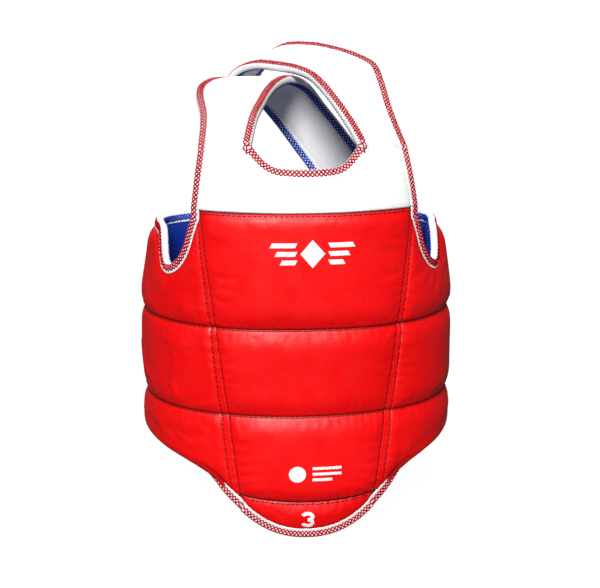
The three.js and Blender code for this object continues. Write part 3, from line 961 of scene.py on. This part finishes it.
def add_trunk_covers(name, grid, body, nodes_out, nodes_in):
    u, z = grid[..., 0], grid[..., 1]
    points, normal = trunk.surface(u, z), trunk.normal(u, z)
    edge, _, flap, rows, upright = seams_near(u, z)
    inside, beside = edge - TAPE_WIDTH, upright - double_row(z)
    seam = np.minimum(np.minimum(rows, flap), np.abs(YOKE_SEAM - z))
    # Painted shade: darkest at the quilting, flap and yoke seams, beside the upright double rows and inside the
    # binding.
    painted_seam_shade = np.exp(-seam / SEAM_SHADE_REACH["seam"]) + SEAM_SHADE_DEPTH["side"] * np.exp(-(beside**2))
    bound = SEAM_SHADE_DEPTH["binding"] * (1 - tuck_share(u) * (z < LOWER_SEAM))
    painted_seam_shade = painted_seam_shade + bound * np.exp(-np.maximum(inside, 0) / SEAM_SHADE_REACH["binding"])
    loose = smooth(np.minimum(seam, np.minimum(np.abs(beside), inside)), *LOOSE)
    hem = tuck_share(u) * (z - wing_hem(np.abs(u)) < HEM_HELD)
    loose = loose * (beside > 0) * (1 - hem)
    for face, slot, nodes in ((1, "red_vinyl", nodes_out), (-1, "blue_vinyl", nodes_in)):
        height = trunk_height(u, z, face)
        ridge = smooth(height, TRUNK_FULL - 2, TRUNK_FULL + 1)
        looks = {"painted_seam_shade": np.clip(painted_seam_shade, 0, 1), "ridge": ridge}
        if face > 0:
            swell = settle(points + normal * height[..., None], normal, loose)
            height = height + swell
            settled_covers.append((points.reshape(-1, 3), swell.ravel()))
        add_skin(name, face, points, normal, height, looks, slot, nodes, body)


def foams(prefix):
    return [f"{prefix}_foam_{row}" for row in ("lower", "middle", "upper")]


def level(z):
    return lambda u: z + 0 * u


def add_front():
    across = 2 * spaced(2 * side_seam(0)) - 1
    levels = [flap_seam, level(LOWER_SEAM), level(UPPER_SEAM), level(YOKE_SEAM)]
    shares = [spaced(b(0.0) - a(0.0)) for a, b in zip(levels[:-1], levels[1:])]
    grid = trunk_grid(lambda z: across * side_seam(z), levels, shares)
    nodes_out = ["front_outer_cover", *foams("front")]
    add_trunk_covers("front", grid, FRONT, nodes_out, ["front_inner_cover"])


def add_wing(name, side):
    reach = REAR_EDGE - side_seam(0)
    across = spaced(reach) * (1 - COVER_INSET / reach)

    def low(u):
        return wing_hem(u) + mix(COVER_INSET, -TUCK["below"], tuck_share(u))

    def top(u):
        return wing_top(u) - COVER_INSET

    levels = [low, level(LOWER_SEAM), level(UPPER_SEAM), top]
    shares = [spaced(length) for length in WING_ROWS]
    grid = trunk_grid(lambda z: mix(side_seam(z), REAR_EDGE, across), levels, shares)
    grid = grid * (side, 1)
    nodes_out = [f"{name}_outer_cover", *foams(name)]
    add_trunk_covers(name, grid, name, nodes_out, [f"{name}_inner_cover"])


def add_flap():
    across = 2 * spaced(2 * FLAP_HALF_WIDTH) - 1
    u = across * FLAP_HALF_WIDTH
    share = spaced(40)[:, None]
    low = np.minimum(flap_edge(u) + COVER_INSET, flap_seam(u) - 4)
    z = mix(low, flap_seam(u) - 0.3, share)
    grid = stacked(u, z)
    nodes = ["groin_flap_outer_cover", "groin_flap_foam"]
    add_trunk_covers("flap", grid, "groin_flap", nodes, ["groin_flap_inner_cover"])


# ---- covers of the yoke and straps ------------------------------------------------------------

YOKE_GROOVE, ROOT_GROOVE = (0.8, 3), (1.1, 3)  # depth and width
ROOT_LAP = 2.4  # how far a strap's cover runs under the yoke's
ROOT_SINK = 1.2


def add_sheet_covers(name, sheet, a, b, height_of, body, nodes_out, nodes_in):
    points = sheet.surface(a, b)
    height = height_of(points, a, b)
    ridge = smooth(height, YOKE_FULL - 1, YOKE_FULL + 1)
    # Painted shade where the pad thins towards its binding.
    painted_seam_shade = np.clip(1 - (height - LOW) / 0.8, 0, 1) * 0.5
    looks = {"painted_seam_shade": painted_seam_shade, "ridge": ridge}
    for face, nodes in ((1, nodes_out), (-1, nodes_in)):
        normal = sheet.normal(a, b)
        add_skin(name, face, points, normal, height, looks, "white_vinyl", nodes, body)


def add_yoke():
    side = YOKE_HALF_WIDTH - COVER_INSET
    x = np.linspace(-side, side, 111)
    length = np.linalg.norm(yoke.surface(x, 1) - yoke.surface(x, 0), axis=-1)
    covered = 1 - smooth(np.abs(x), NECK_END - 3, NECK_END + 6)
    t = np.linspace(0, 1, 40)[:, None] * (1 - covered * COVER_INSET / length)
    padded = padded_height(to_yoke_binding, 3)

    def height(points, a, b):
        rise = np.linalg.norm(points - yoke.surface(a, 0), axis=-1)
        drop = np.linalg.norm(points - yoke.surface(a, 1), axis=-1)
        root = row_groove(drop, *ROOT_GROOVE) * smooth(np.abs(a), NECK_END, NECK_END + 6)
        return padded(points, a, b) + row_groove(rise, *YOKE_GROOVE) + root

    nodes_out = ["yoke_outer_cover", "yoke_foam"]
    add_sheet_covers("yoke", yoke, x + 0 * t, t, height, FRONT, nodes_out, ["yoke_inner_cover"])


def add_strap(name):
    sheet = straps[name]
    length = strap_bounds[name].length[-1] / 2
    along = np.linspace(-ROOT_LAP / length, 1 - COVER_INSET / length, 190)[:, None]
    width = np.linalg.norm(sheet.surface(0, along) - sheet.surface(1, along), axis=-1)
    inset = COVER_INSET / width
    across = mix(inset, 1 - inset, np.linspace(0, 1, 24)[None, :])
    padded = padded_height(to_edges(strap_bounds[name]), 5)

    def height(points, a, b):
        root = row_groove(np.maximum(b, 0) * length, *ROOT_GROOVE)
        return padded(points, a, b) + root - ROOT_SINK * (b < 0)

    nodes_out = [f"{name}_outer_cover", f"{name}_foam"]
    nodes_in = [f"{name}_inner_cover"]
    add_sheet_covers(name, sheet, across, along + 0 * across, height, name, nodes_out, nodes_in)


# ---- edge binding and its stitching -----------------------------------------------------------

# One face of the folded tape: distance inside the edge, and height over the middle surface.
TAPE_FACE = [
    (TAPE_WIDTH, 4.0), (TAPE_WIDTH + 0.2, 4.5), (TAPE_WIDTH - 0.4, 5.0), (9.6, 5.25), (8.6, 5.05),
    (8.0, 4.75), (6.4, 4.6), (4.4, 4.65), (2.4, 4.6), (0.8, 4.5), (-0.4, 4.0), (-1.2, 3.1),
    (-1.7, 1.6),
]
TAPE_FOLD = (-1.9, 0.0)
TAPE_INSIDE = [(-0.9, 0.0), (-0.1, 2.6), (2.0, 3.5), (7.0, 3.6), (TAPE_WIDTH - 0.6, 3.7)]
TAPE_WAVE = {"height": 0.18, "turn": 3.1, "uneven": 1.3, "slow_turn": 17}
BRAID_LIFT, BRAID_WEAVE = 0.25, 0.3  # how high the braid lies on the tape, and its ups and downs


def tape_section():
    outside = TAPE_FACE + [TAPE_FOLD] + [(d, -h) for d, h in reversed(TAPE_FACE)]
    inside = [(d, -h) for d, h in reversed(TAPE_INSIDE[1:])] + TAPE_INSIDE
    return outside + inside


def tape_points(edge):
    """Rows of section points, one row for each station."""
    slow = TAPE_WAVE["uneven"] * np.sin(edge.length / TAPE_WAVE["slow_turn"])
    wave = TAPE_WAVE["height"] * np.sin(edge.length / TAPE_WAVE["turn"] + slow)
    sink = 0
    if edge.sheet is trunk:
        sink = TUCK["sink"] * tuck_share(edge.a) * (edge.b < LOWER_SEAM)
    rows = []
    for inside, height in tape_section():
        lift = wave * np.clip(inside / TAPE_WIDTH, 0, 1) * np.sign(height)
        rows.append(edge.at(inside + 0 * wave, height + lift - sink))
    return np.stack(rows, 1)


def on_tape(edge, points, length, inside, face):
    """Points on a face of the tape, this far along it and this far inside its edge."""
    last = len(TAPE_FACE) - 1
    inner = np.array([distance for distance, _ in TAPE_FACE[3:]])
    place = np.interp(inside, inner[::-1], np.arange(last, 2, -1))
    if face < 0:
        place = 2 * (last + 1) - place
    row = np.interp(length, edge.length, np.arange(len(edge.length)))
    r = np.minimum(row.astype(int), len(points) - 2)
    c = place.astype(int)
    along, across = (row - r)[:, None], (place - c)[:, None]
    first = mix(points[r, c], points[r, c + 1], across)
    return mix(first, mix(points[r + 1, c], points[r + 1, c + 1], across), along)


def add_webbing(name, points, along, across):
    """A closed strip of webbing through rings of points."""
    uv = stacked(along[:, None], across[None, :]).reshape(-1, 2)
    return make(name, points.reshape(-1, 3), tube_faces(*points.shape[:2]), "webbing", uv=uv)


def add_tape(name, edge, points, body, node):
    across = travelled(np.array(tape_section()))
    piece = add_webbing(name, points, edge.length, across)
    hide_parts(node)
    attach(piece, body)


def add_braid(name, edge, points, body):
    """Three threads that zigzag across the tape and over and under each other, on both faces."""
    count = int(edge.length[-1] / BRAID_PERIOD * BRAID_STEPS)
    length = np.linspace(0, edge.length[-1], count)
    normal = read_off(length, edge.length, edge.normal)
    for face, slot in ((1, "red_thread"), (-1, "blue_thread")):
        lines = []
        for strand in range(3):
            phase = (length / BRAID_PERIOD + strand / 3) % 1
            inside = BRAID_MIDDLE + BRAID_REACH * (4 * np.abs(phase - 0.5) - 1)
            lift = BRAID_LIFT + BRAID_WEAVE * np.cos(6 * np.pi * phase + strand)
            line = on_tape(edge, points, length, inside, face)
            lines.append(line + face * normal * lift[:, None])
        piece = tubes(f"{name}_{slot}", lines, [face * normal] * 3, BRAID_RADIUS, slot)
        attach(piece, body)


def add_bindings():
    """Tapes whose ends meet share their last sections, so the binding runs on unbroken."""
    edges = {**wing_edges, **strap_bounds, "neck": neck_bound, "flap": flap_bound}
    edges |= {f"{side}_armhole": edge for side, edge in yoke_sides.items()}
    tapes = {name: tape_points(edge) for name, edge in edges.items()}
    for side, end in (("left", 0), ("right", -1)):
        meetings = [
            ((f"{side}_armhole", 0), (f"{side}_wing", 0)),
            ((f"{side}_armhole", -1), (f"{side}_strap", end)),
            (("neck", end), (f"{side}_strap", -1 - end)),
            (("flap", end), (f"{side}_wing", -1)),
        ]
        for (first, i), (second, j) in meetings:
            shared = (tapes[first][i] + tapes[second][j]) / 2
            tapes[first][i] = shared
            tapes[second][j] = shared
    bodies = {"flap": "groin_flap"} | {name: name for name in (*wing_edges, *strap_bounds)}
    for name, edge in edges.items():
        body = bodies.get(name, FRONT)
        node = "groin_flap_binding" if name == "flap" else f"{name}_binding"
        add_tape(f"{name}_tape", edge, tapes[name], body, node)
        add_braid(f"{name}_tape", edge, tapes[name], body)


# ---- seam stitching ---------------------------------------------------------------------------

STITCH_ARCH = 0.9
ROW_STITCHES = {"short": 8, "below": 1.3, "radius": 0.42}
# How far the rows beside an upright seam stop short of what lies below and above them.
FRONT_SHORT, SIDE_SHORT = (12, 4), (18, 22)
# How far the rows along the flap's and the yoke's seams stop short, and how far over it they are.
FLAP_ROWS = {"upper": (4, 2.2, "trunk_front"), "lower": (10, -3.0, "groin_flap")}
YOKE_SHORT, YOKE_ROW = 4, -3


def add_stitches(name, u, z, body, face=1, material=None, slot="red_thread", size=SEAM_RADIUS):
    """A row of separate stitches, each rising from one hole and going down at the next."""
    length = travelled(trunk.surface(u, z))
    count = int(length[-1] / SEAM_PITCH)
    share = np.linspace(0, 1, 6)
    arch = STITCH_ARCH * (np.sin(np.pi * share) - 0.5)
    lines, normals = [], []
    for k in range(count):
        at = (k + 0.5) * length[-1] / count + SEAM_STITCH * share
        su, sz = np.interp(at, length, u), np.interp(at, length, z)
        lines.append(trunk.lifted(su, sz, face * (trunk_height(su, sz, face) + arch)))
        normals.append(face * trunk.normal(su, sz))
    piece = tubes(name, lines, normals, size, slot, material)
    return attach(piece, body)


def add_seam_stitching():
    wing_top_z = wing_top(side_seam(SIDE_SEAM_TOP[0]))
    for face, slot, label in ((1, "red_thread", "outer"), (-1, "blue_thread", "inner")):
        look = {"face": face, "slot": slot, "material": dark_red_thread if face > 0 else None}
        for name, side in WINGS.items():
            z = np.linspace(FLAP_SEAM + FRONT_SHORT[0], YOKE_SEAM - FRONT_SHORT[1], 300)
            u = side * (side_seam(z) - double_row(z))
            add_stitches(f"{name}_seam_front_{label}", u, z, FRONT, **look)
            z = np.linspace(FLAP_SEAM + SIDE_SHORT[0], wing_top_z - SIDE_SHORT[1], 300)
            u = side * (side_seam(z) + double_row(z))
            add_stitches(f"{name}_seam_side_{label}", u, z, name, **look)
        for row, z_row in (("upper", UPPER_SEAM), ("lower", LOWER_SEAM)):
            thin = {**look, "size": ROW_STITCHES["radius"]}
            z = np.full(300, z_row - ROW_STITCHES["below"])
            u = np.linspace(-1, 1, 300) * (side_seam(z_row) - ROW_STITCHES["short"])
            add_stitches(f"front_row_{row}_{label}", u, z, FRONT, **thin)
            rear = REAR_EDGE - TAPE_WIDTH - 2
            u = np.linspace(side_seam(z_row) + ROW_STITCHES["short"], rear, 300)
            for name, side in WINGS.items():
                add_stitches(f"{name}_row_{row}_{label}", side * u, z, name, **thin)
        for row, (short, above, body) in FLAP_ROWS.items():
            u = np.linspace(-FLAP_HALF_WIDTH + short, FLAP_HALF_WIDTH - short, 200)
            add_stitches(f"flap_seam_{row}_{label}", u, flap_seam(u) + above, body, **look)
        u = np.linspace(-side_seam(YOKE_SEAM) + YOKE_SHORT, side_seam(YOKE_SEAM) - YOKE_SHORT, 200)
        add_stitches(f"yoke_seam_{label}", u, 0 * u + YOKE_SEAM + YOKE_ROW, FRONT, **look)


# ---- prints -----------------------------------------------------------------------------------

PRINT_CELL = 3.0
PRINT_THICKNESS = 0.35
# Places and sizes in a mark, as shares of its width or height.
BAR_PITCH = 0.3
CHEST_MARK = {
    "lozenge": 0.15, "start": 0.2, "lengths": (0.30, 0.24, 0.18), "thick": 0.17, "slant": 0.5,
}
LOWER_MARK = {"start": -0.06, "lengths": (0.5, 0.5, 0.34), "thick": 0.14, "slant": 0.0}
LOWER_DISC = {"place": 0.32, "radius": 0.42}
NUMERAL = {"radius": 0.24, "broad": 1.45, "half_stroke": 0.128, "from_top": 165}
NUMERAL_DROP = 0.2


def print_piece(name, outlines, body, node):
    """Flat outlines in (distance, height), laid on the outer skin of the trunk."""
    work = bmesh.new()
    for outline in outlines:
        work.faces.new([work.verts.new((x, 0, z)) for x, z in outline])
    for axis, normal in ((0, (1, 0, 0)), (2, (0, 0, 1))):
        values = [v.co[axis] for v in work.verts]
        for cut in np.arange(min(values), max(values), PRINT_CELL)[1:]:
            spot = Vector((cut, 0, cut))
            everything = [*work.verts, *work.edges, *work.faces]
            bmesh.ops.bisect_plane(work, geom=everything, plane_co=spot, plane_no=normal)
    bmesh.ops.triangulate(work, faces=work.faces)
    flat = np.array([v.co for v in work.verts])
    work.verts.index_update()
    triangles = [[v.index for v in f.verts] for f in work.faces]
    borders = [[v.index for v in e.verts] for e in work.edges if len(e.link_faces) == 1]
    work.free()
    u, z = flat[:, 0], flat[:, 2]
    height = settled_height(u, z)
    outer = trunk.lifted(u, z, height + PRINT_THICKNESS)
    inner = trunk.lifted(u, z, height - PRINT_THICKNESS)
    count = len(flat)
    faces = triangles + [[i + count for i in t] for t in triangles]
    faces += [[a, b, b + count, a + count] for a, b in borders]
    piece = make(name, np.concatenate([outer, inner]), faces, "white_print", flat=True)
    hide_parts(node)
    attach(piece, body)


def node_place(node):
    """Centre, width and height of a printed mark, in millimetres along the front."""
    low, high = box_mm(node)
    return (low[0] + high[0]) / 2, (low[2] + high[2]) / 2, high[0] - low[0], high[2] - low[2]


def circle(x, z, radius, count=32):
    angles = np.linspace(0, 2 * np.pi, count, endpoint=False)
    return [(x + radius * math.cos(a), z + radius * math.sin(a)) for a in angles]


def stroke(points, half):
    """Quads along a broad line."""
    line = np.array(points, float)
    along = unit(np.gradient(line, axis=0))
    across = stacked(-along[:, 1], along[:, 0]) * half
    left, right = line + across, line - across
    return [[tuple(left[k]), tuple(left[k + 1]), tuple(right[k + 1]), tuple(right[k])]
            for k in range(len(line) - 1)]


def bar(x, z, width, height, slant=0.0):
    half_w, half_h, lean = width / 2, height / 2, slant * height / 2
    return [(x - half_w - lean, z - half_h), (x + half_w - lean, z - half_h),
            (x + half_w + lean, z + half_h), (x - half_w + lean, z + half_h)]


def bars(place, mark, side=1):
    """Bars one below the other, to one side of a mark's middle."""
    x, z, width, height = place
    return [
        bar(
            x + side * (mark["start"] + length / 2) * width,
            z + (1 - k) * BAR_PITCH * height,
            length * width, mark["thick"] * height, -side * mark["slant"],
        )
        for k, length in enumerate(mark["lengths"])
    ]


def add_prints():
    place = x, z, width, height = node_place("chest_mark")
    half = CHEST_MARK["lozenge"] * width
    lozenge = [(x - half, z), (x, z - 0.5 * height), (x + half, z), (x, z + 0.5 * height)]
    outlines = [lozenge, *bars(place, CHEST_MARK, -1), *bars(place, CHEST_MARK)]
    print_piece("chest_print", outlines, FRONT, "chest_mark")
    place = x, z, width, height = node_place("lower_mark")
    disc = circle(x - LOWER_DISC["place"] * width, z, LOWER_DISC["radius"] * height)
    print_piece("lower_print", [disc, *bars(place, LOWER_MARK)], FRONT, "lower_mark")
    x, z, width, height = node_place("size_numeral")
    radius, low, turn = NUMERAL["radius"] * height, z - NUMERAL_DROP, NUMERAL["from_top"]
    curve = []
    for centre, start, end in ((low + radius, turn, -90), (low - radius, 90, -turn)):
        angles = np.radians(np.linspace(start, end, 21))
        bowl = stacked(x + NUMERAL["broad"] * radius * np.cos(angles), centre + radius * np.sin(angles))
        curve += stroke(bowl, NUMERAL["half_stroke"] * height)
    print_piece("size_print", curve, "groin_flap", "size_numeral")


# ---- lace loops -------------------------------------------------------------------------------

LOOP_WALL = 1.6
LOOP_HALF = 5.2  # half of a loop's height between its two layers
LOOP_REACH = 10
LOOP_LENGTH = 90
# Across the strip and through it, as shares of its half width and its thickness.
LOOP_SECTION = [
    (1, 0.25), (0.96, 0.5), (0, 0.56), (-0.96, 0.5), (-1, 0.25),
    (-1, -0.25), (-0.96, -0.5), (0, -0.56), (0.96, -0.5), (1, -0.25),
]
TACK = {"rows": (1.8, 5.2), "across": 0.8, "count": 9, "above": 7.3, "half": 1.2, "dip": 0.5}
TACK_RADIUS = 0.45
LOOP_INSET = 2.0  # how far inside a wing's rear edge its loops are rooted
STRAP_ROOT_SHARE = 0.995


def add_loop(name, node, root, out, up, body):
    """A strip of webbing sewn under the binding, folded into a loop where the CAD has its band."""
    low, high = box_mm(node)
    centre = (low + high) / 2
    width_axis = np.cross(out, up)
    half_width = np.ptp([low @ width_axis, high @ width_axis]) / 2
    tip = centre + out * LOOP_REACH
    layer = [
        (root, -12, 5.6), (root, 0, 6.2), (centre, -6, LOOP_HALF), (centre, 3, LOOP_HALF),
        (tip, -3.5, 0.75 * LOOP_HALF),
    ]
    upper = [start + out * away + up * rise for start, away, rise in layer]
    lower = [start + out * away - up * rise for start, away, rise in reversed(layer)]
    line = catmull([*upper, tip - out * 0.8, *lower])(np.linspace(0, 1, 61))
    thick = np.cross(width_axis, unit(np.gradient(line, axis=0)))
    ring = [line + width_axis * a * half_width + thick * b * LOOP_WALL for a, b in LOOP_SECTION]
    points = np.stack(ring, 1)
    across = np.array([a * half_width for a, _ in LOOP_SECTION])
    piece = add_webbing(name, points, np.linspace(0, LOOP_LENGTH, len(line)), across)
    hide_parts(node)
    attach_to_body(piece, body)
    lines = []
    for k in np.linspace(-TACK["across"], TACK["across"], TACK["count"]):
        for inside in TACK["rows"]:
            middle = root - out * inside + up * TACK["above"] + width_axis * k * half_width
            dip, reach = up * TACK["dip"], out * TACK["half"]
            lines.append(np.array([middle - reach - dip, middle, middle + reach - dip]))
    tack = tubes(f"{name}_tack", lines, [np.array([up] * 3)] * len(lines), TACK_RADIUS, "red_thread")
    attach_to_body(tack, body)


def add_loops():
    for name, side in WINGS.items():
        for row in ("upper", "middle", "lower"):
            node = f"{name}_loop_{row}"
            low, high = box_mm(node)
            place = np.array([side * (REAR_EDGE - LOOP_INSET)]), np.array([(low[2] + high[2]) / 2])
            root, up = trunk.surface(*place)[0], trunk.normal(*place)[0]
            add_loop(f"{name}_lace_loop_{row}", node, root, np.array([-side, 0.0, 0.0]), up, name)
    for name, sheet in straps.items():
        place = np.array([0.5]), np.array([STRAP_ROOT_SHARE])
        root, up = sheet.surface(*place)[0], sheet.normal(*place)[0]
        add_loop(f"{name}_lace_loop", f"{name}_loop", root, np.array([0.0, 0.0, -1.0]), up, name)


# ---- studio -----------------------------------------------------------------------------------

CAMERA = {"target": (0.0055, 0, 0), "distance": 2.0, "azimuth": -5.5, "elevation": 12.5}
CAMERA_LENS = 92.3
FLOOR_GAP = 0.004
FLOOR_HALF = 40
FLOOR_PAINT = ((0.12, 0.12, 0.12), (0.13, 0.13, 0.13))
FLOOR_GLOW = 0.93
SKY_GLOW = 0.09
# Where each sun shines from, how strongly, and how many degrees wide it is.
SUNS = {"key": ((-0.5, -2.4, 1.85), 4.5, 20), "back_fill": ((0.2, 2.4, 1.2), 2.2, 30)}


def add_camera():
    camera = add_object("camera", bpy.data.cameras.new("camera"))
    around, up = math.radians(CAMERA["azimuth"]), math.radians(CAMERA["elevation"])
    back = Vector((math.sin(around) * math.cos(up), -math.cos(around) * math.cos(up), math.sin(up)))
    camera.location = Vector(CAMERA["target"]) + back * CAMERA["distance"]
    camera.rotation_euler = (-back).to_track_quat("-Z", "Y").to_euler()
    camera.data.lens = CAMERA_LENS
    camera.data.sensor_width = 36
    bpy.context.scene.camera = camera


def add_sun(name, place, strength, degrees):
    sun = add_object(name, bpy.data.lights.new(name, "SUN"))
    sun.data.energy = strength
    sun.data.angle = math.radians(degrees)
    sun.location = place
    sun.rotation_euler = (-Vector(place)).to_track_quat("-Z", "Y").to_euler()


def add_studio():
    floor_z = cad_box[0].z - FLOOR_GAP
    mesh = bpy.data.meshes.new("floor")
    corners = [(-1, -1), (1, -1), (1, 1), (-1, 1)]
    corners = [(FLOOR_HALF * x, FLOOR_HALF * y, floor_z) for x, y in corners]
    mesh.from_pydata(corners, [], [(0, 1, 2, 3)])
    floor = add_object("floor", mesh)
    paint = Shader("floor_paint", FLOOR_PAINT[0], 0.9)
    paint.color(paint.blend(paint.noise(3, 2), *FLOOR_PAINT))
    paint.surface.inputs["Specular IOR Level"].default_value = 0
    paint.surface.inputs["Emission Color"].default_value = (1, 1, 1, 1)
    paint.surface.inputs["Emission Strength"].default_value = FLOOR_GLOW
    mesh.materials.append(paint.material)
    floor.visible_diffuse = False
    floor.visible_glossy = False
    world = bpy.data.worlds.new("studio")
    world.use_nodes = True
    sky = world.node_tree.nodes["Background"]
    sky.inputs["Color"].default_value = (1, 1, 1, 1)
    sky.inputs["Strength"].default_value = SKY_GLOW
    bpy.context.scene.world = world
    for name, (place, strength, degrees) in SUNS.items():
        add_sun(name, place, strength, degrees)
    bpy.context.scene.view_settings.view_transform = "Standard"


add_camera()
add_studio()
add_front()
for wing, wing_side in WINGS.items():
    add_wing(wing, wing_side)
add_flap()
add_yoke()
for strap in STRAP_EDGES:
    add_strap(strap)
add_bindings()
add_seam_stitching()
add_prints()
add_loops()

slot_of = {part["node"]: part["material_slot"] for part in frame["record"]["subparts"]}
for node_name, node in frame["nodes"].items():
    node.data.materials.clear()
    node.data.materials.append(MATERIALS[slot_of[node_name]])
